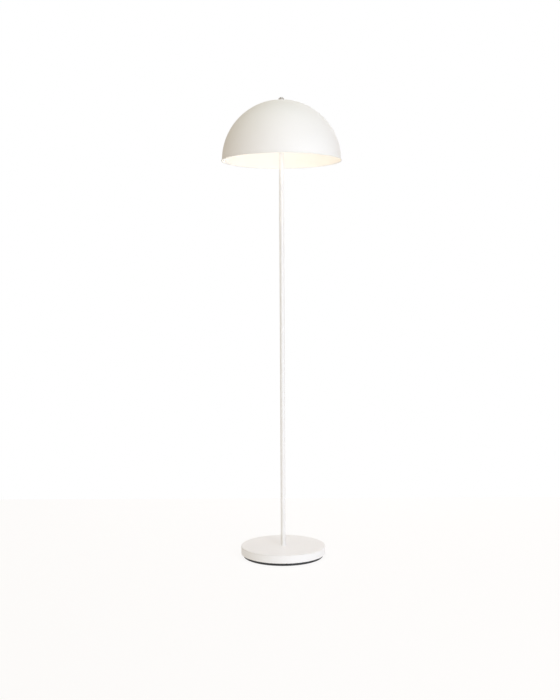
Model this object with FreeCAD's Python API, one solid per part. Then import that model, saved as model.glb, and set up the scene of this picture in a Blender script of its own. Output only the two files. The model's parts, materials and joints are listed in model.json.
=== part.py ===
import FreeCAD, Part
import math
import os

# A floor lamp with a spun steel dome shade on a slim pole and a weighted round base.
# Millimetres. +Z is up and the origin is the centre of the face that stands on the floor.
# The cord inlet looks along +Y, the back of the lamp, and the switch knob along -Y.

Vector = FreeCAD.Vector
X_AXIS = Vector(1, 0, 0)
Y_AXIS = Vector(0, 1, 0)
Z_AXIS = Vector(0, 0, 1)
ORIGIN = Vector(0, 0, 0)

cut_spare = 1.0               # how far a cutting box passes the faces that it opens

# ---- Base ----
foot_height = 10.0            # black rubber ring that stands on the floor
foot_recess = 7.0             # how far the ring stands in from the cover's side
foot_width = 16.0
foot_chamfer = 1.5
groove_depth = 4.0            # groove of the ring that grips the bottom plate
plate_height = 4.5            # underside of the bottom plate above the floor
plate_thickness = 1.5
cover_radius = 144.0          # pressed steel cover
cover_height = 25.5
cover_wall = 1.2
cover_round = 2.5             # pressed edge, made of edge_band_count narrow bands
edge_band_count = 2
weight_gap = 1.8              # between the iron weight and the cover's wall
weight_web = 9.0
weight_rim = 16.0
boss_circle = 100.0           # radius on which the bosses of the weight stand
boss_radius = 6.5
boss_count = 3
boss_first_angle = 30.0
plate_screw_radius = 2.0
plate_screw_head = 4.0
plate_screw_head_height = 2.3
screw_slot_share = 0.3        # width of a screw's slot as a share of its head's radius
screw_slot_depth_share = 0.45
plate_screw_reach = 11.0      # how far a screw goes into its boss
screw_hole_spare = 2.0        # how much deeper than its screw a blind hole is
notch_width = 14.0            # notch in the weight's rim behind the cord inlet
notch_height = 13.5

# ---- Cord inlet bushing ----
inlet_height = 17.0           # axis of the inlet above the floor
inlet_bore = 3.3
inlet_barrel = 5.0
inlet_flange = 6.5
inlet_flange_thickness = 1.8
inlet_chamfer = 0.7
inlet_lip = 5.8
inlet_lip_thickness = 1.6
inlet_seat_gap = 0.2          # between the bushing's flat lip and the curved wall

# ---- Threaded tubes that hold base, pole and socket together ----
nipple_radius = 5.0
nipple_bore = 3.6
nipple_play = 0.3             # in the clearance holes that a threaded tube passes through
nipple_reach = 14.0           # how far a threaded tube goes into a pole insert
nipple_stub = 1.0             # what shows of the base's threaded tube below its nut
nut_flats = 16.0
nut_height = 6.0
washer_radius = 14.0
washer_thickness = 2.0

# ---- Pole ----
pole_radius = 8.0
pole_wall = 1.2
section_length = 446.5
section_names = ["lower", "middle", "upper"]
seam_chamfer = 0.25
insert_length = 16.0

# ---- Wiring inside ----
lead_radius = 2.2
lead_bend = 10.0
lead_height = 4.0             # axis of the lead above the bottom plate
core_radius = 0.9
core_offset = 1.1
core_play = 0.6               # below the moulded body, where the cores spread
sheath_stub = 2.5             # sheath above the floor of the lampholder's cap
cord_room = 28.0              # between the terminal block and the weight's rim, for the cord
block_length = 17.0
block_width = 18.0
block_height = 9.0
tower_height = 4.5
tower_width = 5.4
terminal_spacing = 11.4
wire_hole_radius = 1.7
block_screw_radius = 1.5
block_screw_head = 2.6
block_screw_head_height = 1.8
lead_strip = 10.0             # sheath cut back from the terminal block
core_grip = 5.0               # cores inside the terminal block

# ---- Lampholder ----
saddle_thickness = 1.6
saddle_width = 12.0
saddle_bend = 2.4             # inside radius where the saddle turns up
shoulder_height = 6.0         # from the pole's end to the shoulders the ferrules sit on
tongue_height = 8.0
tongue_width = 3.0
collar_radius = 7.5
collar_height = 5.0
cap_radius = 17.4
cap_edge = 2.5                # bevel between the floor of the cap and its wall
cap_height = 20.0
cap_wall = 0.6
shell_gap = 0.1               # between one layer of the lampholder and the next
shell_wall = 0.5
shell_start = 12.0            # from the saddle to the lower end of the shell
shell_length = 49.0
shell_bead = 0.6
shell_bead_height = 1.4
liner_wall = 0.5
liner_inset = 1.0             # the liner ends this far inside the shell at both ends
body_start = 13.0
body_length = 18.0
recess_floor = 10.0           # flats of the side recesses from the socket's axis
recess_width = 11.0
recess_height = 12.0
screw_shell_radius = 13.8
screw_shell_wall = 0.4
screw_shell_length = 26.0
screw_shell_floor_hole = 5.6
contact_width = 5.0
contact_thickness = 0.5
contact_half_length = 4.6
contact_foot = 2.3            # the foot's flat ends this far from the socket's axis
contact_pad = 2.8             # the flat under the bulb's tip ends this far from it
contact_rise = 1.4
contact_gap = 0.1
terminal_screw_radius = 1.5
terminal_screw_height = 5.5   # from the lower end of the body to the screws
terminal_head_radius = 3.0
terminal_head_height = 1.6
terminal_head_gap = 2.5       # from the recess floor to the head
terminal_screw_depth = 3.0    # into the body

# ---- Switch ----
shaft_radius = 2.5
shaft_play = 0.08
shaft_slot_play = 0.6         # in the shell and its liner
shaft_inner_end = 4.0         # from the socket's axis
shaft_height = 11.0           # from the lower end of the body
knob_gap = 2.6                # from the shell to the knob
knob_radius = 7.5
knob_tip_radius = 6.6
knob_length = 15.0
knob_bevel = 1.4
knob_bore_depth = 10.0
flute_count = 10
flute_radius = 1.2
flute_outset = 0.36           # axes of the flutes outside the knob's edge

# ---- Bulb ----
bulb_radius = 30.0
bulb_length = 106.0
bulb_cap_radius = 13.1
bulb_cap_start = 5.0
bulb_cap_cone = 2.0
bulb_cap_end = 27.0
bulb_insulator_radius = 11.0
tip_radius = 4.6
tip_face = 3.2                # flat at the end of the tip
tip_height = 1.5
housing_neck = 14.0
housing_mouth = 24.0
globe_band_count = 8

# ---- Harp ----
harp_wire = 1.6               # wire radius
harp_half_width = 46.0
harp_arm_room = 5.3           # between the lampholder's cap and an arm of the saddle
harp_bend = 20.0              # radius of every bend in the wire
harp_straight = 30.0          # from the saddle's shoulders up to where the wire turns outward
harp_flare = 34.0             # height in which it then reaches its full width
bulb_headroom = 21.1          # from the bulb up to the middle of the bow's top wire
eye_radius = 6.5
eye_thickness = 2.6
ferrule_wall = 0.8
ferrule_length = 14.0
ferrule_play = 0.15
ferrule_seat_gap = 0.1
ferrule_lip = 0.5

# ---- Shade and what holds it ----
shade_radius = 200.0
shade_wall = 1.0
rim_bead = 1.7                # radius of the rolled rim
rim_roll_start = 67.5         # where the roll leaves the dome, in degrees above the level
rim_band_count = 4            # bands of the roll's outer half
seat_radius = 15.0            # small flat on top of the dome
stud_radius = 3.1
stud_chamfer = 0.8
stud_seat_radius = 7.0
stud_seat_thickness = 2.4
stud_shank_radius = 2.4
stud_shank_play = 0.08
stud_swivel_gap = 0.3
stud_rivet_radius = 4.0
stud_rivet_height = 1.2
stud_hole_play = 0.4          # in the shade and its soft washer
soft_washer_radius = 9.0
soft_washer_thickness = 1.2
cup_radius = 10.0             # cup washer between the dome and the finial
cup_height = 7.0
cup_wall = 0.8
cup_round = 2.6
cup_band_count = 3
finial_height = 4.6           # what stands above the cup washer
finial_radius = 6.2
finial_side_height = 1.5      # straight side below the crown
finial_top_flat = 1.8
crown_band_count = 3
spigot_radius = 4.7           # the finial's lower end, which goes down into the cup
spigot_length = 4.8
spigot_play = 0.3
finial_cap = 1.4              # metal above the finial's bore
finial_thread_play = 0.05
finial_bore_spare = 0.4

# ---- Levels and radii that follow from the sizes above ----
foot_radius = cover_radius - foot_recess
plate_top = plate_height + plate_thickness
plate_radius = foot_radius - foot_width + groove_depth
base_top = foot_height + cover_height
weight_radius = cover_radius - cover_wall - weight_gap
web_bottom = base_top - cover_wall - weight_web
block_distance = weight_radius - weight_rim - cord_room - block_length  # near face of the block
pole_inside = pole_radius - pole_wall
pole_top = base_top + section_length * len(section_names)
saddle_top = pole_top + saddle_thickness
shell_radius = cap_radius - cap_wall - shell_gap
liner_radius = shell_radius - shell_wall - shell_gap
body_radius = liner_radius - liner_wall - shell_gap
body_bottom = saddle_top + body_start
body_top = body_bottom + body_length
shaft_z = body_bottom + shaft_height
lead_z = plate_top + lead_height
bulb_bottom = body_top + contact_thickness + contact_rise + contact_gap
bulb_centre = bulb_bottom + bulb_length - bulb_radius
housing_top = bulb_centre - math.sqrt(bulb_radius ** 2 - housing_mouth ** 2)
harp_arm = cap_radius + harp_arm_room + saddle_thickness
harp_top = bulb_bottom + bulb_length + bulb_headroom
eye_top = harp_top + eye_thickness / 2
stud_seat_top = eye_top + stud_swivel_gap + stud_seat_thickness
seat_bottom = stud_seat_top + soft_washer_thickness
seat_top = seat_bottom + shade_wall
shade_rim_height = seat_top - math.sqrt(shade_radius ** 2 - seat_radius ** 2)
shoulder_z = pole_top + shoulder_height
tongue_top = shoulder_z + tongue_height
finial_seat = seat_top + cup_height
finial_bore_top = finial_seat + finial_height - finial_cap
stud_top = finial_bore_top - finial_bore_spare


# ---- Shape helpers ----
def cylinder(radius, bottom, top, x=0.0, y=0.0):
    return Part.makeCylinder(radius, top - bottom, Vector(x, y, bottom), Z_AXIS)


def tube(outer, inner, bottom, top):
    return cylinder(outer, bottom, top).cut(cylinder(inner, bottom, top))


def box(x0, x1, y0, y1, z0, z1):
    return Part.makeBox(x1 - x0, y1 - y0, z1 - z0, Vector(x0, y0, z0))


def outline(start, *steps):
    """Closed face in the XZ plane. A step is (x, z), or ((x, z), (x, z)) for an arc."""
    edges = []
    here = Vector(start[0], 0, start[1])
    if isinstance(steps[-1][0], tuple) and steps[-1][1] == start:
        closing = ()
    else:
        closing = (start,)
    for step in steps + closing:
        if isinstance(step[0], tuple):
            via = Vector(step[0][0], 0, step[0][1])
            there = Vector(step[1][0], 0, step[1][1])
            edges.append(Part.Arc(here, via, there).toShape())
        else:
            there = Vector(step[0], 0, step[1])
            edges.append(Part.LineSegment(here, there).toShape())
        here = there
    return Part.Face(Part.Wire(edges))


def turned(start, *steps):
    """Solid of revolution about Z from an outline given as radius and height."""
    return outline(start, *steps).revolve(ORIGIN, Z_AXIS, 360)


def on_circle(radius, angle, centre_x=0.0, centre_z=0.0):
    """Point at an angle in degrees from +X towards +Z."""
    turn = math.radians(angle)
    return (centre_x + radius * math.cos(turn), centre_z + radius * math.sin(turn))


def bands(centre_x, centre_z, width, height, first, last, count):
    """Points that part a stretch of an ellipse into equal turns, both ends included."""
    points = []
    for index in range(count + 1):
        turn = math.radians(first + (last - first) * index / count)
        x = round(centre_x + width * math.cos(turn), 9)
        points.append((x, centre_z + height * math.sin(turn)))
    return points


def rod(start, end, radius):
    """Straight round bar between two points."""
    along = Vector(*end) - Vector(*start)
    return Part.makeCylinder(radius, along.Length, Vector(*start), along)


def rounded_wire(points, radius):
    """Straight runs between the points, joined by tangent arcs of one radius."""
    points = [Vector(*point) for point in points]
    edges = []
    here = points[0]
    for before, corner, after in zip(points, points[1:], points[2:]):
        back = (before - corner).normalize()
        ahead = (after - corner).normalize()
        half_turn = (math.pi - back.getAngle(ahead)) / 2
        reach = radius * math.tan(half_turn)
        start = corner + back * reach
        end = corner + ahead * reach
        middle = (back + ahead).normalize()
        inside = corner + middle * (radius / math.cos(half_turn) - radius)
        edges.append(Part.LineSegment(here, start).toShape())
        edges.append(Part.Arc(start, inside, end).toShape())
        here = end
    edges.append(Part.LineSegment(here, points[-1]).toShape())
    return Part.Wire(edges)


def swept(path, radius):
    """Round bar of one radius along a path."""
    first = path.OrderedEdges[0]
    start = path.OrderedVertexes[0].Point
    direction = first.tangentAt(first.FirstParameter)
    section = Part.Wire(Part.Circle(start, direction, radius).toShape())
    return path.makePipeShell([section], True, True)


def mirrored(shape):
    return shape.mirror(ORIGIN, X_AXIS)


# ---- Base ----
def foot_ring():
    inner = foot_radius - foot_width
    return turned((inner, 0),
                  (foot_radius - foot_chamfer, 0),
                  (foot_radius, foot_chamfer),
                  (foot_radius, foot_height),
                  (inner, foot_height),
                  (inner, plate_top),
                  (plate_radius, plate_top),
                  (plate_radius, plate_height),
                  (inner, plate_height))


def boss_places():
    step = 360.0 / boss_count
    return [on_circle(boss_circle, boss_first_angle + step * index) for index in range(boss_count)]


def bottom_plate():
    plate = cylinder(plate_radius, plate_height, plate_top)
    for x, y in boss_places():
        plate = plate.cut(cylinder(plate_screw_radius, plate_height, plate_top, x, y))
    middle = block_distance + block_length / 2
    return plate.cut(cylinder(block_screw_radius, plate_height, plate_top, 0, middle))


def cheese_screw(head_radius, head_height, shank_radius, length):
    """Slotted screw that points up, its head's seat at z = 0."""
    screw = cylinder(head_radius, -head_height, 0).fuse(cylinder(shank_radius, 0, length))
    slot = head_radius * screw_slot_share / 2
    bottom = -head_height
    deep = bottom + head_height * screw_slot_depth_share
    return screw.cut(box(-head_radius, head_radius, -slot, slot, bottom, deep))


def plate_screws():
    screws = []
    length = plate_thickness + plate_screw_reach
    for x, y in boss_places():
        screw = cheese_screw(plate_screw_head, plate_screw_head_height, plate_screw_radius, length)
        screw.translate(Vector(x, y, plate_height))
        screws.append(screw)
    return Part.makeCompound(screws)


def base_weight():
    weight_top = base_top - cover_wall
    rim_inside = weight_radius - weight_rim
    hole = nipple_radius + nipple_play
    weight = turned((hole, web_bottom),
                    (rim_inside, web_bottom),
                    (rim_inside, foot_height),
                    (weight_radius, foot_height),
                    (weight_radius, weight_top),
                    (hole, weight_top))
    for x, y in boss_places():
        weight = weight.fuse(cylinder(boss_radius, plate_top, web_bottom, x, y))
        hole_top = plate_top + plate_screw_reach + screw_hole_spare
        weight = weight.cut(cylinder(plate_screw_radius, plate_top, hole_top, x, y))
    half = notch_width / 2
    notch = box(-half, half, rim_inside - cut_spare, weight_radius + cut_spare,
                foot_height, foot_height + notch_height)
    return weight.cut(notch).removeSplitter()


def base_cover():
    inner = cover_radius - cover_wall
    bend = cover_radius - cover_round
    level = base_top - cover_round
    under = base_top - cover_wall
    hole = nipple_radius + nipple_play
    inner_round = cover_round - cover_wall
    cover = turned((hole, base_top),
                   *bands(bend, level, cover_round, cover_round, 90, 0, edge_band_count),
                   (cover_radius, foot_height),
                   (inner, foot_height),
                   *bands(bend, level, inner_round, inner_round, 0, 90, edge_band_count),
                   (hole, under))
    inlet_hole = Part.makeCylinder(inlet_barrel, cover_radius, Vector(0, 0, inlet_height), Y_AXIS)
    return cover.cut(inlet_hole)


def cord_bushing():
    inside = cover_radius - cover_wall - inlet_seat_gap
    outside = cover_radius
    end = outside + inlet_flange_thickness
    bushing = turned((inlet_bore, inside - inlet_lip_thickness),
                     (inlet_barrel, inside - inlet_lip_thickness),
                     (inlet_lip, inside),
                     (inlet_barrel, inside),
                     (inlet_barrel, outside),
                     (inlet_flange, outside),
                     (inlet_flange, end - inlet_chamfer),
                     (inlet_flange - inlet_chamfer, end),
                     (inlet_bore, end))
    bushing.rotate(ORIGIN, X_AXIS, -90)
    bushing.translate(Vector(0, 0, inlet_height))
    return bushing


def hexagon(flats, bottom, top, hole):
    corner = flats / math.sqrt(3)
    points = [Vector(*on_circle(corner, 60 * side), bottom) for side in range(7)]
    prism = Part.Face(Part.makePolygon(points)).extrude(Vector(0, 0, top - bottom))
    return prism.cut(cylinder(hole, bottom, top))


def base_nut():
    nut_top = web_bottom - washer_thickness
    return hexagon(nut_flats, nut_top - nut_height, nut_top, nipple_radius)


def base_washer():
    return tube(washer_radius, nipple_radius, web_bottom - washer_thickness, web_bottom)


def nipple(bottom, top):
    return tube(nipple_radius, nipple_bore, bottom, top)


def base_nipple():
    lowest = web_bottom - washer_thickness - nut_height - nipple_stub
    return nipple(lowest, base_top + nipple_reach)


# ---- Pole ----
def pole_tube(bottom):
    top = bottom + section_length
    edge = pole_radius - seam_chamfer
    return turned((pole_inside, bottom),
                  (edge, bottom),
                  (pole_radius, bottom + seam_chamfer),
                  (pole_radius, top - seam_chamfer),
                  (edge, top),
                  (pole_inside, top))


def pole_nodes():
    """Three tubes, each with a threaded insert in both ends, and the nipples between them."""
    nodes = {}
    inserts = []
    joints = []
    bottom = base_top
    for index, name in enumerate(section_names):
        top = bottom + section_length
        nodes["pole_" + name] = pole_tube(bottom)
        inserts.append(tube(pole_inside, nipple_radius, bottom, bottom + insert_length))
        inserts.append(tube(pole_inside, nipple_radius, top - insert_length, top))
        if index > 0:
            joints.append(nipple(bottom - nipple_reach, bottom + nipple_reach))
        bottom = top
    nodes["tube_inserts"] = Part.makeCompound(inserts)
    nodes["joint_nipples"] = Part.makeCompound(joints)
    return nodes


def socket_nipple():
    return nipple(pole_top - nipple_reach, saddle_top + collar_height + cap_wall)


# ---- Wiring inside ----
def terminal_block():
    near = block_distance
    far = near + block_length
    half = block_width / 2
    floor = plate_top
    shelf = floor + block_height
    block = box(-half, half, near, far, floor, shelf)
    for side in (-1, 1):
        x = side * terminal_spacing / 2
        half_tower = tower_width / 2
        block = block.fuse(box(x - half_tower, x + half_tower, near, far, shelf, shelf + tower_height))
        wire_way = Part.makeCylinder(wire_hole_radius, block_length, Vector(x, near, lead_z), Y_AXIS)
        block = block.cut(wire_way)
    middle = near + block_length / 2
    return block.cut(cylinder(block_screw_radius, floor, shelf, 0, middle)).removeSplitter()


def block_screw():
    screw = cheese_screw(block_screw_head, block_screw_head_height, block_screw_radius,
                         block_height + plate_thickness)
    screw.rotate(ORIGIN, X_AXIS, 180)
    screw.translate(Vector(0, block_distance + block_length / 2, plate_top + block_height))
    return screw


def inner_lead():
    """Sheathed two-core lead: from the terminal block to the centre, and up to the socket."""
    sheath_start = block_distance - lead_strip
    sheath_end = saddle_top + collar_height + cap_wall + sheath_stub
    route = rounded_wire([(0, sheath_start, lead_z), (0, 0, lead_z), (0, 0, sheath_end)], lead_bend)
    lead = swept(route, lead_radius)
    level = body_bottom - core_radius - core_play
    beside = terminal_screw_radius + core_radius + shell_gap
    for side in (-1, 1):
        inner = side * core_offset
        outer = side * terminal_spacing / 2
        rise = side * (recess_floor + terminal_head_gap / 2)
        at_block = (outer, block_distance - core_radius, lead_z)
        in_block = (outer, block_distance + core_grip, lead_z)
        below_body = (rise, beside, level)
        at_terminal = (rise, beside, body_bottom + terminal_screw_height + core_radius)
        cores = [rod((inner, sheath_start - core_grip, lead_z), at_block, core_radius),
                 rod(at_block, in_block, core_radius),
                 rod((inner, 0, sheath_end - core_radius), below_body, core_radius),
                 rod(below_body, at_terminal, core_radius)]
        lead = lead.fuse(cores)
    return lead.removeSplitter()


# ---- Lampholder ----
def harp_saddle():
    """Flat bar bent up at both ends, with a shoulder and a tongue for each ferrule."""
    inner = harp_arm - saddle_thickness
    bend_x = inner - saddle_bend
    bend_z = saddle_top + saddle_bend
    outer_bend = saddle_bend + saddle_thickness
    half = outline((0, pole_top),
                   (bend_x, pole_top),
                   (on_circle(outer_bend, -45, bend_x, bend_z), (harp_arm, bend_z)),
                   (harp_arm, tongue_top),
                   (inner, tongue_top),
                   (inner, bend_z),
                   (on_circle(saddle_bend, -45, bend_x, bend_z), (bend_x, saddle_top)),
                   (0, saddle_top))
    bar = half.extrude(Vector(0, saddle_width, 0))
    bar.translate(Vector(0, -saddle_width / 2, 0))
    for side in (-1, 1):
        y0, y1 = sorted((side * tongue_width / 2, side * saddle_width))
        bar = bar.cut(box(inner - cut_spare, harp_arm + cut_spare, y0, y1,
                          shoulder_z, tongue_top + cut_spare))
    saddle = bar.fuse(mirrored(bar))
    return saddle.cut(cylinder(nipple_radius, pole_top, saddle_top)).removeSplitter()


def socket_cap():
    """Spun cup with a threaded collar that stands on the saddle."""
    floor = saddle_top + collar_height
    top = saddle_top + cap_height
    inside = cap_radius - cap_wall
    bevel = cap_edge - cap_wall / 2
    return turned((nipple_radius, saddle_top),
                  (collar_radius, saddle_top),
                  (collar_radius, floor),
                  (cap_radius - cap_edge, floor),
                  (cap_radius, floor + cap_edge),
                  (cap_radius, top),
                  (inside, top),
                  (inside, floor + cap_wall + bevel),
                  (inside - bevel, floor + cap_wall),
                  (nipple_radius, floor + cap_wall))


def shaft_opening(radius):
    return Part.makeCylinder(radius, cap_radius * 2, Vector(0, 0, shaft_z), -Y_AXIS)


def socket_shell():
    bottom = saddle_top + shell_start
    top = bottom + shell_length
    inside = shell_radius - shell_wall
    bead = shell_radius + shell_bead
    shell = turned((inside, bottom),
                   (shell_radius, bottom),
                   (shell_radius, top - shell_bead_height),
                   (bead, top - shell_bead_height / 2),
                   (shell_radius, top),
                   (inside, top))
    return shell.cut(shaft_opening(shaft_radius + shaft_slot_play))


def socket_liner():
    bottom = saddle_top + shell_start + liner_inset
    top = saddle_top + shell_start + shell_length - liner_inset
    liner = tube(liner_radius, liner_radius - liner_wall, bottom, top)
    return liner.cut(shaft_opening(shaft_radius + shaft_slot_play))


def socket_body():
    """Moulded insulating body: side recesses for the terminals and a bore for the switch shaft."""
    body = cylinder(body_radius, body_bottom, body_top)
    half = recess_width / 2
    height = body_bottom + terminal_screw_height
    for side in (-1, 1):
        x0, x1 = sorted((side * recess_floor, side * (body_radius + cut_spare)))
        body = body.cut(box(x0, x1, -half, half, body_bottom, body_bottom + recess_height))
        start = Vector(side * recess_floor, 0, height)
        body = body.cut(Part.makeCylinder(terminal_screw_radius, terminal_screw_depth, start, X_AXIS * -side))
    bore = shaft_opening(shaft_radius + shaft_play)
    stop = Part.makeBox(body_radius * 2, body_radius + shaft_inner_end, body_length,
                        Vector(-body_radius, -shaft_inner_end, body_bottom))
    return body.cut(bore.cut(stop)).removeSplitter()


def terminal_screws():
    screws = []
    length = terminal_screw_depth + terminal_head_gap
    seat = recess_floor + terminal_head_gap
    for side in (-1, 1):
        screw = cheese_screw(terminal_head_radius, terminal_head_height, terminal_screw_radius, length)
        screw.rotate(ORIGIN, Y_AXIS, -90 * side)
        screw.translate(Vector(side * seat, 0, body_bottom + terminal_screw_height))
        screws.append(screw)
    return Part.makeCompound(screws)


def screw_shell():
    """Thin threaded cup that takes the bulb, riveted to the moulded body."""
    top = body_top + screw_shell_length
    inside = screw_shell_radius - screw_shell_wall
    return turned((screw_shell_floor_hole, body_top),
                  (screw_shell_radius, body_top),
                  (screw_shell_radius, top),
                  (inside, top),
                  (inside, body_top + screw_shell_wall),
                  (screw_shell_floor_hole, body_top + screw_shell_wall))


def centre_contact():
    """Sprung leaf under the bulb's tip."""
    end = contact_half_length
    high = body_top + contact_rise
    slant = contact_thickness / 2
    leaf = outline((-end, body_top),
                   (-contact_foot, body_top),
                   (0, high),
                   (contact_pad, high),
                   (contact_pad, high + contact_thickness),
                   (-slant, high + contact_thickness),
                   (-contact_foot - slant, body_top + contact_thickness),
                   (-end, body_top + contact_thickness))
    contact = leaf.extrude(Vector(0, contact_width, 0))
    contact.translate(Vector(0, -contact_width / 2, 0))
    return contact


# ---- Switch ----
def knob_inner_face():
    return shell_radius + knob_gap


def switch_shaft():
    length = knob_inner_face() + knob_bore_depth - shaft_inner_end
    return Part.makeCylinder(shaft_radius, length, Vector(0, -shaft_inner_end, shaft_z), -Y_AXIS)


def switch_knob():
    """Fluted knob, turned about Z and then laid along -Y."""
    shoulder = knob_length - knob_bevel
    knob = turned((shaft_radius, 0),
                  (knob_radius, 0),
                  (knob_tip_radius, shoulder),
                  (knob_tip_radius - knob_bevel, knob_length),
                  (0, knob_length),
                  (0, knob_bore_depth),
                  (shaft_radius, knob_bore_depth))
    for index in range(flute_count):
        x, y = on_circle(knob_radius + flute_outset, 360.0 / flute_count * index)
        knob = knob.cut(cylinder(flute_radius, 0, knob_length, x, y))
    knob.rotate(ORIGIN, X_AXIS, 90)
    knob.translate(Vector(0, -knob_inner_face(), shaft_z))
    return knob


# ---- Bulb ----
def bulb_tip():
    top = bulb_bottom + tip_height
    return turned((0, bulb_bottom), (tip_face, bulb_bottom), (tip_radius, top), (0, top))


def bulb_insulator():
    bottom = bulb_bottom + tip_height
    top = bulb_bottom + bulb_cap_start
    return turned((0, bottom), (tip_radius, bottom), (bulb_insulator_radius, top), (0, top))


def bulb_cap():
    low = bulb_bottom + bulb_cap_start
    cone = low + bulb_cap_cone
    top = bulb_bottom + bulb_cap_end
    return turned((0, low),
                  (bulb_insulator_radius, low),
                  (bulb_cap_radius, cone),
                  (bulb_cap_radius, top),
                  (0, top))


def bulb_housing():
    """Flared neck between the screw cap and the globe, closed and so kept solid."""
    low = bulb_bottom + bulb_cap_end
    return turned((0, low), (housing_neck, low), (housing_mouth, housing_top), (0, housing_top))


def bulb_globe():
    """Opal globe that stands on the housing, closed and so kept solid."""
    start = math.degrees(math.asin((housing_top - bulb_centre) / bulb_radius))
    side = bands(0, bulb_centre, bulb_radius, bulb_radius, start, 90, globe_band_count)
    return turned((0, housing_top), *side)


# ---- Harp ----
def harp_path():
    """Right half of the bow, from the lap in the saddle to the middle of the top."""
    turn_out = shoulder_z + harp_straight
    return rounded_wire([(harp_arm, 0, shoulder_z),
                         (harp_arm, 0, turn_out),
                         (harp_half_width, 0, turn_out + harp_flare),
                         (harp_half_width, 0, harp_top),
                         (0, 0, harp_top)], harp_bend)


def harp_bow():
    """Wire bow with a flattened eye on top and half-lapped feet that lie against the tongues."""
    half = swept(harp_path(), harp_wire)
    lap = box(0, harp_arm, -harp_wire * 2, harp_wire * 2, shoulder_z - cut_spare, tongue_top)
    half = half.cut(lap)
    eye_bottom = eye_top - eye_thickness
    eye = cylinder(eye_radius, eye_bottom, eye_top)
    bow = half.fuse(mirrored(half))
    flat = stud_seat_radius + stud_swivel_gap
    over = box(-flat, flat, -flat, flat, eye_top, eye_top + harp_wire)
    under = box(-flat, flat, -flat, flat, eye_bottom - harp_wire, eye_bottom)
    bow = bow.cut(over).cut(under).fuse(eye)
    hole = cylinder(stud_shank_radius + stud_shank_play, harp_top - harp_wire, harp_top + harp_wire)
    return bow.cut(hole).removeSplitter()


def ferrule():
    """Sleeve that locks a foot of the bow to the saddle, with a flared lower lip."""
    corner = math.hypot(max(harp_wire, saddle_thickness), tongue_width / 2)
    bore = corner + ferrule_play
    outer = bore + ferrule_wall
    bottom = shoulder_z + ferrule_seat_gap
    top = bottom + ferrule_length
    sleeve = turned((bore, bottom),
                    (outer + ferrule_lip, bottom),
                    (outer, bottom + ferrule_lip * 2),
                    (outer, top - ferrule_lip),
                    (outer - ferrule_lip, top),
                    (bore, top))
    sleeve.translate(Vector(harp_arm, 0, 0))
    return sleeve


# ---- Shade and what holds it ----
def harp_stud():
    """Swivel stud riveted into the eye of the harp: seat below the shade, thread through it."""
    seat_low = stud_seat_top - stud_seat_thickness
    rivet_top = eye_top - eye_thickness - stud_swivel_gap
    return turned((0, rivet_top - stud_rivet_height),
                  (stud_rivet_radius, rivet_top - stud_rivet_height),
                  (stud_rivet_radius, rivet_top),
                  (stud_shank_radius, rivet_top),
                  (stud_shank_radius, seat_low),
                  (stud_seat_radius, seat_low),
                  (stud_seat_radius, stud_seat_top),
                  (stud_radius, stud_seat_top),
                  (stud_radius, stud_top - stud_chamfer),
                  (stud_radius - stud_chamfer, stud_top),
                  (0, stud_top))


def shade_washer():
    return tube(soft_washer_radius, stud_radius + stud_hole_play, stud_seat_top, seat_bottom)


def top_washer():
    """Spun cup washer, open downward, that the finial presses on the dome."""
    hole = spigot_radius + spigot_play
    centre = cup_radius - cup_round
    level = finial_seat - cup_round
    inner_round = cup_round - cup_wall
    return turned((cup_radius - cup_wall, seat_top),
                  (cup_radius, seat_top),
                  *bands(centre, level, cup_round, cup_round, 0, 90, cup_band_count),
                  (hole, finial_seat),
                  (hole, finial_seat - cup_wall),
                  *bands(centre, level, inner_round, inner_round, 90, 0, cup_band_count))


def shade():
    """Hemispherical spinning with a small flat on top and a rolled rim."""
    hole = stud_radius + stud_hole_play
    level = shade_rim_height
    inside = shade_radius - shade_wall
    inner_seat = math.sqrt(inside ** 2 - (seat_bottom - level) ** 2)
    bead_centre = inside + rim_bead
    meet_x = (shade_radius ** 2 - rim_bead ** 2 + bead_centre ** 2) / (2 * bead_centre)
    meet_z = level + math.sqrt(shade_radius ** 2 - meet_x ** 2)
    bead = bands(bead_centre, level, rim_bead, rim_bead,
                 rim_roll_start, rim_roll_start - 180, rim_band_count)
    return turned((hole, seat_top),
                  (seat_radius, seat_top),
                  (on_circle(shade_radius, 45, 0, level), (meet_x, meet_z)),
                  *bead,
                  (inside, level),
                  (on_circle(inside, 45, 0, level), (inner_seat, seat_bottom)),
                  (hole, seat_bottom))


def finial():
    """Small domed nut, with a spigot that goes down into the cup washer round the stud."""
    bore = stud_radius + finial_thread_play
    low = finial_seat - spigot_length
    side_top = finial_seat + finial_side_height
    top = finial_seat + finial_height
    flat_turn = math.degrees(math.acos(finial_top_flat / finial_radius))
    rise = (top - side_top) / math.sin(math.radians(flat_turn))
    crown = bands(0, side_top, finial_radius, rise, 0, flat_turn, crown_band_count)
    return turned((bore, low),
                  (spigot_radius, low),
                  (spigot_radius, finial_seat),
                  (finial_radius, finial_seat),
                  *crown,
                  (0, top),
                  (0, finial_bore_top),
                  (bore, finial_bore_top))


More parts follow.
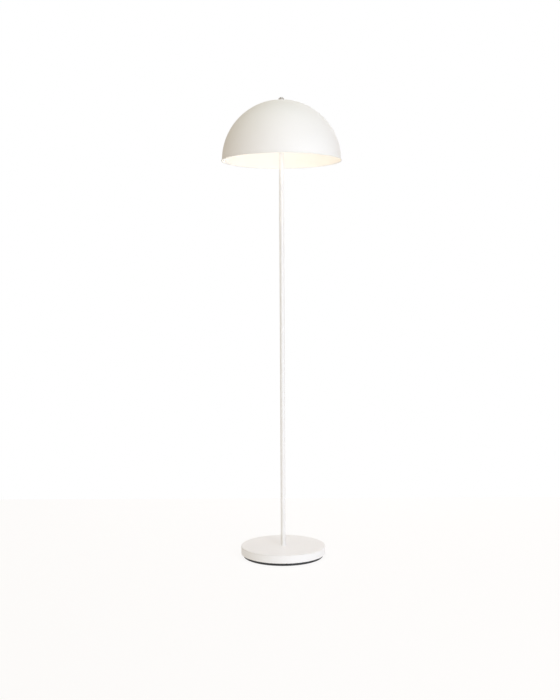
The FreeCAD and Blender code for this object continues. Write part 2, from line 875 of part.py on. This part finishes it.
def all_nodes():
    nodes = {
        "foot_ring": foot_ring(),
        "bottom_plate": bottom_plate(),
        "plate_screws": plate_screws(),
        "base_weight": base_weight(),
        "base_cover": base_cover(),
        "cord_bushing": cord_bushing(),
        "base_nipple": base_nipple(),
        "base_washer": base_washer(),
        "base_nut": base_nut(),
        "terminal_block": terminal_block(),
        "block_screw": block_screw(),
        "inner_lead": inner_lead(),
        "socket_nipple": socket_nipple(),
        "harp_saddle": harp_saddle(),
        "socket_cap": socket_cap(),
        "socket_shell": socket_shell(),
        "socket_liner": socket_liner(),
        "socket_body": socket_body(),
        "terminal_screws": terminal_screws(),
        "screw_shell": screw_shell(),
        "centre_contact": centre_contact(),
        "switch_shaft": switch_shaft(),
        "switch_knob": switch_knob(),
        "bulb_tip": bulb_tip(),
        "bulb_insulator": bulb_insulator(),
        "bulb_cap": bulb_cap(),
        "bulb_housing": bulb_housing(),
        "bulb_globe": bulb_globe(),
        "harp_bow": harp_bow(),
        "ferrule_right": ferrule(),
        "ferrule_left": mirrored(ferrule()),
        "harp_stud": harp_stud(),
        "shade_washer": shade_washer(),
        "shade": shade(),
        "top_washer": top_washer(),
        "finial": finial(),
    }
    nodes.update(pole_nodes())
    return nodes


def write_parts():
    os.makedirs("parts", exist_ok=True)
    for name, shape in all_nodes().items():
        if not shape.isValid():
            raise ValueError(name + " is not a valid shape")
        shape.exportStep("parts/" + name + ".step")
        print(f"{name:24s} {len(shape.Solids):2d} solid(s) {shape.Volume:12.1f} mm3")


write_parts()
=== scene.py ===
import json
import math

import bmesh
import bpy
from mathutils import Matrix, Vector


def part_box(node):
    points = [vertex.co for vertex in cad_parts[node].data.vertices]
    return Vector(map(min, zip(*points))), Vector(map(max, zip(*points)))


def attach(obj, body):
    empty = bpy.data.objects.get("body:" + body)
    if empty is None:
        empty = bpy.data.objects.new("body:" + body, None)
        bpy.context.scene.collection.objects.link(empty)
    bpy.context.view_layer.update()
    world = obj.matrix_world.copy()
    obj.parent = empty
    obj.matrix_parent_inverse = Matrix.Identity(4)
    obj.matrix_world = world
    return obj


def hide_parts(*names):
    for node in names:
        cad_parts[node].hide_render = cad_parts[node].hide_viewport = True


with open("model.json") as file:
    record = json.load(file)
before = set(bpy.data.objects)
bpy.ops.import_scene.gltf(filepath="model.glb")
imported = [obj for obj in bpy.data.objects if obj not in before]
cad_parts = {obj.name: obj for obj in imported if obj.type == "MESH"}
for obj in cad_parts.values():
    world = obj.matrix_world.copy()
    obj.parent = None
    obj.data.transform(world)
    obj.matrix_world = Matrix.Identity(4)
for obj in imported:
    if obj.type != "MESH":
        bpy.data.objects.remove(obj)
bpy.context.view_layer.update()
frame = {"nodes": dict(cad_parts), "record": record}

# A dome floor lamp: looks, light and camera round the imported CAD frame. Metres, +Z up.

# ---- Camera, fitted to the photograph's 560 x 700 frame ----
FRAME_LONG_SIDE = 700.0
FOCAL_PX = 991.5
SENSOR_MM = 36.0
CAMERA_PLACE = Vector((-0.008, -3.3624, 0.8988))
CAMERA_PITCH_DOWN = math.radians(3.274)
CAMERA_ROLL = -0.00466
CAMERA_CLIP = (0.05, 60.0)

# ---- Sizes of the pieces made here that the frame doesn't give. Angles in degrees ----
SHADE_WALL = 0.001
SHADE_SEAT = 0.015
SHADE_HOLE = 0.0035
RIM_ROLL = 0.0017
RIM_START = 1.6 * RIM_ROLL
ROLL_FIRST, ROLL_LAST = 100, -180
INNER_START = 1.0
GLOBE_RADIUS = 0.030
GLOBE_LAST = 89.9
CUP_WALL = 0.0008
CUP_ROUND = 0.0026
CUP_HOLE = 0.0050
SPIGOT_RADIUS = 0.0047
SPIGOT_LENGTH = 0.0048
FINIAL_BORE = 0.00315
FINIAL_CAP = 0.0014
FINIAL_SIDE = 0.0015
FINIAL_EDGE = 0.0002
FINIAL_FLUTES = 36
FINIAL_FLUTE_DEPTH = 0.00022
FERRULE_WALL = 0.0008
FERRULE_LIP = 0.0005
FERRULE_ROUND = 0.0005
FERRULE_EDGE = 0.0001
FERRULE_FLUTES = 24
FERRULE_FLUTE_DEPTH = 0.00018
GRIP_START = 0.0032
GRIP_END = 0.0022

# ---- Fineness of the meshes and their shading ----
DOME_STEPS, DOME_SEGMENTS = 60, 160
ROLL_STEPS = 16
GLOBE_STEPS, GLOBE_SEGMENTS = 30, 64
CROWN_STEPS = 16
CUP_OUTER_STEPS, CUP_INNER_STEPS, CUP_SEGMENTS = 10, 8, 96
FERRULE_ROUND_STEPS = 5
SEGMENTS_PER_FLUTE = 4
HAIR = 1e-6
SMOOTH_ANGLE = math.radians(50)
NORMAL_WEIGHT = 80

# ---- Part of a noise's range over which a pattern changes ----
PATTERN_LOW, PATTERN_HIGH = 0.3, 0.7

# ---- Light and floor ----
LAMP_MIDDLE = Vector((0, 0, 0.9))
LAMP_FOOT = Vector((0, 0, 0))
TOP_LIGHT_PLACE = Vector((0, -0.3, 3.6))
LIGHT_DISTANCE = 3.6
SUN_SPREAD = math.radians(5)
WORLD_COLOUR = (1.0, 0.846, 0.654)
WORLD_STRENGTH = 0.50
BULB_COLOUR = (1.0, 0.83, 0.62, 1.0)
BULB_GLOW = 15.1
FLOOR_SIDE, FLOOR_NEAR, FLOOR_FAR = 6.0, -6.0, 0.95
FLOOR_COLOUR = (1.0, 0.986, 0.972, 1.0)
FLOOR_GLOW = 0.88


# ---- Node graphs ----
class Surface:
    """A principled material with helpers for the pattern nodes that feed it."""

    def __init__(self, name, colour, rough, metallic=0.0, **sockets):
        self.material = bpy.data.materials.new(name)
        self.material.use_nodes = True
        self.tree = self.material.node_tree
        self.shader = self.tree.nodes["Principled BSDF"]
        self.colour = colour
        self.set("Base Color", (*colour, 1.0))
        self.set("Roughness", rough)
        self.set("Metallic", metallic)
        for socket, value in sockets.items():
            self.set(socket.replace("_", " "), value)
        self.place = self.node("ShaderNodeTexCoord").outputs["Object"]
        self.bump_end = None

    def set(self, socket, value):
        self.shader.inputs[socket].default_value = value

    def node(self, kind, **values):
        made = self.tree.nodes.new(kind)
        for name, value in values.items():
            if hasattr(made, name):
                setattr(made, name, value)
            else:
                made.inputs[name.replace("_", " ")].default_value = value
        return made

    def link(self, source, target):
        self.tree.links.new(source, target)

    def stretched(self, scale):
        mapping = self.node("ShaderNodeMapping")
        mapping.inputs["Scale"].default_value = scale
        self.link(self.place, mapping.inputs["Vector"])
        return mapping.outputs["Vector"]

    def noise(self, scale, detail=3.0, stretch=None):
        texture = self.node("ShaderNodeTexNoise", Scale=scale, Detail=detail)
        self.link(self.stretched(stretch) if stretch else self.place, texture.inputs["Vector"])
        return texture.outputs["Fac"]

    def rings(self, scale, kind="BANDS", distortion=0.0):
        """Tool marks: bands stacked up the Z axis, or rings round it."""
        texture = self.node("ShaderNodeTexWave", wave_type=kind, bands_direction="Z",
                            rings_direction="Z", Scale=scale, Distortion=distortion)
        self.link(self.place, texture.inputs["Vector"])
        return texture.outputs["Fac"]

    def mottle(self, factor, spread, other=None):
        """Colour that drifts between a darker and a lighter tone, or towards another colour."""
        ramp = self.node("ShaderNodeValToRGB")
        low, high = ramp.color_ramp.elements
        low.position, high.position = PATTERN_LOW, PATTERN_HIGH
        low.color = (*(c * (1 - spread) for c in self.colour), 1.0)
        high.color = (*(other or (min(1.0, c * (1 + spread)) for c in self.colour)), 1.0)
        self.link(factor, ramp.inputs["Fac"])
        self.link(ramp.outputs["Color"], self.shader.inputs["Base Color"])

    def rough(self, factor, low, high):
        """Roughness that drifts between two values."""
        mapped = self.node("ShaderNodeMapRange", From_Min=PATTERN_LOW, From_Max=PATTERN_HIGH,
                           To_Min=low, To_Max=high)
        self.link(factor, mapped.inputs["Value"])
        self.link(mapped.outputs["Result"], self.shader.inputs["Roughness"])

    def bump(self, height, depth, strength):
        """Fine relief, on top of any relief that is there already."""
        made = self.node("ShaderNodeBump", Strength=strength, Distance=depth)
        self.link(height, made.inputs["Height"])
        if self.bump_end:
            self.link(self.bump_end, made.inputs["Normal"])
        self.bump_end = made.outputs["Normal"]
        self.link(self.bump_end, self.shader.inputs["Normal"])


def white_paint(name, colour, rough, gloss, peel_scale, tool_marks=None):
    """Sprayed paint: a faint drift of tone, a fine peel, and any tool marks that show through."""
    paint = Surface(name, colour, rough, Specular_IOR_Level=gloss)
    paint.mottle(paint.noise(9.0, 4.0), 0.012)
    paint.rough(paint.noise(60.0), rough - 0.04, rough + 0.05)
    paint.bump(paint.noise(peel_scale, 1.0), 0.000012, 0.3)
    if tool_marks:
        paint.bump(paint.rings(*tool_marks), 0.000006, 0.2)
    return paint.material


def make_materials():
    made = {}
    made["white_satin"] = white_paint("white_satin", (0.84, 0.825, 0.79), 0.5, 0.25, 260.0,
                                      (140.0, "BANDS", 0.4))
    made["white_gloss"] = white_paint("white_gloss", (0.83, 0.818, 0.797), 0.38, 0.45, 240.0,
                                      (120.0, "RINGS", 0.3))
    made["white_tube"] = white_paint("white_tube", (0.82, 0.81, 0.785), 0.38, 0.45, 300.0)

    rubber = Surface("black_rubber", (0.022, 0.022, 0.023), 0.62)
    rubber.mottle(rubber.noise(140.0, 5.0), 0.35)
    rubber.rough(rubber.noise(260.0), 0.52, 0.72)
    rubber.bump(rubber.noise(1800.0, 2.0), 0.00006, 0.5)
    made["black_rubber"] = rubber.material

    steel = Surface("black_steel", (0.03, 0.03, 0.031), 0.42)
    steel.mottle(steel.noise(70.0, 4.0), 0.25)
    steel.rough(steel.noise(200.0), 0.34, 0.5)
    steel.bump(steel.noise(1200.0), 0.00003, 0.4)
    made["black_steel"] = steel.material

    iron = Surface("cast_iron", (0.11, 0.108, 0.105), 0.7, 0.35)
    iron.mottle(iron.noise(220.0, 6.0), 0.4, (0.2, 0.17, 0.14))
    iron.bump(iron.noise(700.0, 6.0), 0.0003, 0.6)
    made["cast_iron"] = iron.material

    zinc = Surface("zinc_steel", (0.62, 0.62, 0.6), 0.32, 1.0)
    zinc.mottle(zinc.noise(320.0, 3.0), 0.1, (0.7, 0.68, 0.6))
    zinc.rough(zinc.noise(900.0, 2.0), 0.24, 0.42)
    zinc.bump(zinc.noise(2600.0, 1.0), 0.00003, 0.3)
    made["zinc_steel"] = zinc.material

    brass = Surface("brass", (0.75, 0.55, 0.26), 0.3, 1.0)
    brass.mottle(brass.noise(260.0, 3.0), 0.12)
    brass.rough(brass.noise(700.0, 2.0), 0.22, 0.4)
    brass.bump(brass.rings(900.0), 0.00002, 0.25)
    made["brass"] = brass.material

    nickel = Surface("nickel", (0.56, 0.545, 0.52), 0.3, 1.0)
    nickel.mottle(nickel.noise(160.0, 3.0), 0.07)
    nickel.rough(nickel.noise(1200.0, 2.0, (1, 1, 8)), 0.24, 0.38)
    nickel.bump(nickel.noise(1500.0, 2.0, (1, 1, 12)), 0.00002, 0.3)
    made["nickel"] = nickel.material

    phenolic = Surface("black_phenolic", (0.02, 0.019, 0.018), 0.34)
    phenolic.mottle(phenolic.noise(500.0, 5.0), 0.3, (0.035, 0.032, 0.03))
    phenolic.rough(phenolic.noise(300.0), 0.28, 0.44)
    phenolic.bump(phenolic.noise(1600.0, 2.0), 0.00003, 0.3)
    made["black_phenolic"] = phenolic.material

    plastic = Surface("white_plastic", (0.8, 0.8, 0.78), 0.38)
    plastic.mottle(plastic.noise(90.0, 3.0), 0.02)
    plastic.rough(plastic.noise(240.0), 0.33, 0.45)
    plastic.bump(plastic.noise(1400.0, 2.0), 0.00002, 0.3)
    made["white_plastic"] = plastic.material

    fibre = Surface("fibre_liner", (0.36, 0.25, 0.14), 0.85)
    fibre.mottle(fibre.noise(600.0, 6.0, (1, 1, 6)), 0.25)
    fibre.bump(fibre.noise(900.0, 4.0, (1, 1, 7)), 0.0001, 0.5)
    made["fibre_liner"] = fibre.material

    aluminium = Surface("aluminium_shell", (0.78, 0.78, 0.79), 0.3, 1.0)
    aluminium.mottle(aluminium.noise(200.0, 2.0), 0.05)
    aluminium.rough(aluminium.noise(800.0, 2.0), 0.24, 0.4)
    aluminium.bump(aluminium.rings(1100.0), 0.00003, 0.3)
    made["aluminium_shell"] = aluminium.material

    sheath = Surface("lead_sheath", (0.78, 0.78, 0.75), 0.45)
    sheath.mottle(sheath.noise(120.0, 3.0), 0.03)
    sheath.bump(sheath.noise(900.0, 2.0), 0.00004, 0.3)
    made["lead_sheath"] = sheath.material

    opal = Surface("opal_globe", (0.93, 0.91, 0.86), 0.28)
    opal.set("Emission Color", BULB_COLOUR)
    opal.set("Emission Strength", BULB_GLOW)
    opal.mottle(opal.noise(60.0, 3.0), 0.02)
    opal.rough(opal.noise(200.0), 0.24, 0.34)
    made["opal_globe"] = opal.material
    return made


# ---- Meshes ----
def arc(centre_r, centre_z, radius, first, last, count):
    """Profile points on an arc, angles in degrees from outward towards up."""
    points = []
    for index in range(count + 1):
        turn = math.radians(first + (last - first) * index / count)
        points.append((centre_r + radius * math.cos(turn), centre_z + radius * math.sin(turn)))
    return points


def knurled(low, high, count, depth):
    """Ripple of a knurled band: how far the surface lies in at a turn and a height."""
    def ripple(turn, height):
        return depth * (0.5 - 0.5 * math.cos(count * turn)) if low <= height <= high else 0.0
    return ripple


def lathe(name, profile, segments, closed=True, ripple=None, middle=0.0):
    """Turns a profile of (radius, height) about Z. A closed profile is a ring or a solid.

    The axis stands at x = middle, and a ripple draws the outer surface in."""
    shape = bmesh.new()
    rows = []
    for radius, height in profile:
        if radius < HAIR:
            rows.append([shape.verts.new((middle, 0, height))])
            continue
        row = []
        for index in range(segments):
            turn = 2 * math.pi * index / segments
            reach = radius - ripple(turn, height) if ripple else radius
            place = (middle + reach * math.cos(turn), reach * math.sin(turn), height)
            row.append(shape.verts.new(place))
        rows.append(row)
    pairs = list(zip(rows, rows[1:]))
    if closed:
        pairs.append((rows[-1], rows[0]))
    for low, high in pairs:
        if len(low) == 1 and len(high) == 1:
            continue
        for index in range(segments):
            after = (index + 1) % segments
            corners = [low[index % len(low)], low[after % len(low)],
                       high[after % len(high)], high[index % len(high)]]
            shape.faces.new(list(dict.fromkeys(corners)))
    bmesh.ops.recalc_face_normals(shape, faces=shape.faces)
    mesh = bpy.data.meshes.new(name)
    shape.to_mesh(mesh)
    shape.free()
    made = bpy.data.objects.new(name, mesh)
    bpy.context.scene.collection.objects.link(made)
    return made


def soften(thing):
    """Smooth shading with hard edges above an angle, and normals led by the larger faces."""
    mesh = thing.data
    mesh.polygons.foreach_set("use_smooth", [True] * len(mesh.polygons))
    mesh.set_sharp_from_angle(angle=SMOOTH_ANGLE)
    weighted = thing.modifiers.new("weighted", "WEIGHTED_NORMAL")
    weighted.keep_sharp = True
    weighted.weight = NORMAL_WEIGHT


def dress(thing, slot_name, body, *replaced):
    """Gives a piece its finish and its body, and hides the nodes that it stands for."""
    thing.data.materials.clear()
    thing.data.materials.append(materials[slot_name])
    soften(thing)
    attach(thing, body)
    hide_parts(*replaced)


# ---- Pieces that stand for a CAD node ----
def spun_shade():
    """The dome as one smooth skin: seat, sphere, rolled rim, and the sphere inside."""
    _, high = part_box("shade")
    radius = high.x - 2 * RIM_ROLL + SHADE_WALL
    inside = radius - SHADE_WALL
    seat = high.z
    under = seat - SHADE_WALL
    rim = seat - math.sqrt(radius ** 2 - SHADE_SEAT ** 2)
    outer_first = math.degrees(math.acos(SHADE_SEAT / radius))
    outer_last = math.degrees(math.asin(RIM_START / radius))
    inner_last = math.degrees(math.asin((under - rim) / inside))
    profile = [(SHADE_HOLE, seat)]
    profile += arc(0, rim, radius, outer_first, outer_last, DOME_STEPS)
    profile += arc(inside + RIM_ROLL, rim, RIM_ROLL, ROLL_FIRST, ROLL_LAST, ROLL_STEPS)
    profile += arc(0, rim, inside, INNER_START, inner_last, DOME_STEPS)
    profile += [(SHADE_HOLE, under)]
    return lathe("shade_spun", profile, DOME_SEGMENTS)


def opal_globe():
    """Closed ball, cut flat where it sits in the bulb's housing."""
    low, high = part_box("bulb_globe")
    centre = high.z - GLOBE_RADIUS
    first = math.degrees(math.asin((low.z - centre) / GLOBE_RADIUS))
    profile = [(0, low.z)]
    profile += arc(0, centre, GLOBE_RADIUS, first, GLOBE_LAST, GLOBE_STEPS)
    profile += [(0, high.z)]
    return lathe("bulb_opal", profile, GLOBE_SEGMENTS, closed=False)


def turned_finial():
    """Domed nut with a knurled side and a spigot that goes down into the cup washer."""
    low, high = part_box("finial")
    seat = low.z + SPIGOT_LENGTH
    side_top = seat + FINIAL_SIDE
    knurl_low, knurl_high = seat + 2 * FINIAL_EDGE, side_top - FINIAL_EDGE
    crown_low = side_top + FINIAL_EDGE
    crown_radius = high.x - FINIAL_EDGE
    bore_top = high.z - FINIAL_CAP
    profile = [(FINIAL_BORE, low.z), (SPIGOT_RADIUS - FINIAL_EDGE, low.z),
               (SPIGOT_RADIUS, low.z + FINIAL_EDGE), (SPIGOT_RADIUS, seat),
               (high.x - 2 * FINIAL_EDGE, seat), (high.x, knurl_low),
               (high.x, knurl_high), (crown_radius, side_top)]
    for index in range(CROWN_STEPS):
        turn = math.radians(90.0 * index / CROWN_STEPS)
        height = crown_low + (high.z - crown_low) * math.sin(turn)
        profile.append((crown_radius * math.cos(turn), height))
    profile += [(0, high.z), (0, bore_top), (FINIAL_BORE, bore_top)]
    knurl = knurled(knurl_low - HAIR, knurl_high + HAIR, FINIAL_FLUTES, FINIAL_FLUTE_DEPTH)
    return lathe("finial_turned", profile, SEGMENTS_PER_FLUTE * FINIAL_FLUTES, ripple=knurl)


def spun_cup():
    """Cup washer with one smooth round from its wall to its top."""
    low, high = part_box("top_washer")
    radius = high.x
    centre = radius - CUP_ROUND
    level = high.z - CUP_ROUND
    profile = [(radius - CUP_WALL, low.z), (radius, low.z)]
    profile += arc(centre, level, CUP_ROUND, 0, 90, CUP_OUTER_STEPS)
    profile += [(CUP_HOLE, high.z), (CUP_HOLE, high.z - CUP_WALL)]
    profile += arc(centre, level, CUP_ROUND - CUP_WALL, 90, 0, CUP_INNER_STEPS)
    return lathe("cup_spun", profile, CUP_SEGMENTS)


def knurled_ferrule(node):
    """Sleeve with a flared lower lip and a knurled grip."""
    low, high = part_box(node)
    middle = (low.x + high.x) / 2
    lip = (high.x - low.x) / 2
    outer = lip - FERRULE_LIP
    bore = outer - FERRULE_WALL
    grip_low, grip_high = low.z + GRIP_START, high.z - GRIP_END
    profile = [(bore, low.z), (lip - FERRULE_EDGE, low.z), (lip, low.z + 2 * FERRULE_EDGE),
               (outer, low.z + 2 * FERRULE_LIP), (outer, grip_low - FERRULE_EDGE),
               (outer, grip_low), (outer, grip_high), (outer, grip_high + FERRULE_EDGE)]
    profile += arc(outer - FERRULE_ROUND, high.z - FERRULE_ROUND, FERRULE_ROUND, 0, 90,
                   FERRULE_ROUND_STEPS)
    profile += [(bore, high.z)]
    knurl = knurled(grip_low, grip_high, FERRULE_FLUTES, FERRULE_FLUTE_DEPTH)
    return lathe(node + "_knurled", profile, SEGMENTS_PER_FLUTE * FERRULE_FLUTES,
                 ripple=knurl, middle=middle)


# ---- Light, floor and camera ----
def from_lamp(azimuth, elevation, distance=LIGHT_DISTANCE):
    """Place seen from the lamp's middle: azimuth in degrees from the front towards the right."""
    turn, rise = math.radians(azimuth), math.radians(elevation)
    level = distance * math.cos(rise)
    away = Vector((level * math.sin(turn), -level * math.cos(turn), distance * math.sin(rise)))
    return LAMP_MIDDLE + away


def softbox(name, place, target, size, power, colour, fill=False):
    """Square light that the camera doesn't see. A fill shows in no gloss and throws no shadow."""
    data = bpy.data.lights.new(name, "AREA")
    data.size = size
    data.energy = power
    data.color = colour
    data.use_shadow = not fill
    lamp = bpy.data.objects.new(name, data)
    lamp.location = place
    lamp.rotation_euler = (target - place).to_track_quat("-Z", "Y").to_euler()
    lamp.visible_camera = False
    lamp.visible_glossy = not fill
    bpy.context.scene.collection.objects.link(lamp)


def window_sun(azimuth, elevation, strength, colour):
    """A faint sun, for the pole's soft shadow."""
    data = bpy.data.lights.new("window_sun", "SUN")
    data.angle = SUN_SPREAD
    data.energy = strength
    data.color = colour
    lamp = bpy.data.objects.new("window_sun", data)
    towards = LAMP_MIDDLE - from_lamp(azimuth, elevation, 1.0)
    lamp.rotation_euler = towards.to_track_quat("-Z", "Y").to_euler()
    bpy.context.scene.collection.objects.link(lamp)


def make_lights():
    """Each softbox's numbers: its side in metres, its power in watts, its colour."""
    softbox("key", from_lamp(25, 6), LAMP_MIDDLE, 1.6, 51.5, (0.80, 0.87, 1.0))
    softbox("right_fill", from_lamp(50, 4), LAMP_MIDDLE, 1.6, 17.5, (0.37, 0.58, 1.0))
    softbox("back_fill", from_lamp(165, 30), LAMP_MIDDLE, 2.0, 112.0, (0.80, 0.85, 1.0), fill=True)
    softbox("top_fill", TOP_LIGHT_PLACE, LAMP_FOOT, 3.0, 24.5, (0.72, 0.90, 1.0))
    window_sun(28, 30, 0.28, (1.0, 0.97, 0.93))


def make_world():
    """White behind the lamp, and a dimmer warm light on it from all round."""
    world = bpy.data.worlds.new("studio")
    world.use_nodes = True
    tree = world.node_tree
    tree.nodes.clear()
    seen = tree.nodes.new("ShaderNodeBackground")
    seen.inputs["Color"].default_value = (1, 1, 1, 1)
    seen.inputs["Strength"].default_value = 1.0
    lit = tree.nodes.new("ShaderNodeBackground")
    lit.inputs["Color"].default_value = (*WORLD_COLOUR, 1)
    lit.inputs["Strength"].default_value = WORLD_STRENGTH
    path = tree.nodes.new("ShaderNodeLightPath")
    mix = tree.nodes.new("ShaderNodeMixShader")
    end = tree.nodes.new("ShaderNodeOutputWorld")
    tree.links.new(path.outputs["Is Camera Ray"], mix.inputs["Fac"])
    tree.links.new(lit.outputs["Background"], mix.inputs[1])
    tree.links.new(seen.outputs["Background"], mix.inputs[2])
    tree.links.new(mix.outputs["Shader"], end.inputs["Surface"])
    bpy.context.scene.world = world


def make_floor():
    """A plain floor. Most of its brightness is its own glow, so it takes little shadow."""
    data = bpy.data.meshes.new("floor")
    corners = [(-FLOOR_SIDE, FLOOR_NEAR, 0), (FLOOR_SIDE, FLOOR_NEAR, 0),
               (FLOOR_SIDE, FLOOR_FAR, 0), (-FLOOR_SIDE, FLOOR_FAR, 0)]
    data.from_pydata(corners, [], [(0, 1, 2, 3)])
    floor = bpy.data.objects.new("floor", data)
    bpy.context.scene.collection.objects.link(floor)
    pale = Surface("pale_floor", (0.1, 0.1, 0.1), 0.8, Specular_IOR_Level=0.05)
    pale.set("Emission Color", FLOOR_COLOUR)
    pale.set("Emission Strength", FLOOR_GLOW)
    pale.mottle(pale.noise(3.0, 2.0), 0.004)
    data.materials.append(pale.material)


def make_camera():
    data = bpy.data.cameras.new("camera")
    data.sensor_width = SENSOR_MM
    data.lens = FOCAL_PX * SENSOR_MM / FRAME_LONG_SIDE
    data.clip_start, data.clip_end = CAMERA_CLIP
    camera = bpy.data.objects.new("camera", data)
    tilt = Matrix.Rotation(math.radians(90) - CAMERA_PITCH_DOWN, 4, "X")
    roll = Matrix.Rotation(CAMERA_ROLL, 4, "Z")
    camera.matrix_world = Matrix.Translation(CAMERA_PLACE) @ tilt @ roll
    bpy.context.scene.collection.objects.link(camera)
    bpy.context.scene.camera = camera


# ---- Build ----
materials = make_materials()
slots = {entry["node"]: entry["material_slot"] for entry in frame["record"]["subparts"]}
for name, node in frame["nodes"].items():
    node.data.materials.clear()
    node.data.materials.append(materials[slots[name]])
    soften(node)

dress(spun_shade(), "white_satin", "shade_assembly", "shade")
dress(opal_globe(), "opal_globe", "bulb", "bulb_globe")
dress(spun_cup(), "nickel", "shade_assembly", "top_washer")
dress(turned_finial(), "nickel", "finial_nut", "finial")
dress(knurled_ferrule("ferrule_right"), "nickel", "right_ferrule", "ferrule_right")
dress(knurled_ferrule("ferrule_left"), "nickel", "left_ferrule", "ferrule_left")

make_floor()
make_world()
make_lights()
make_camera()
bpy.context.scene.view_settings.view_transform = "Standard"
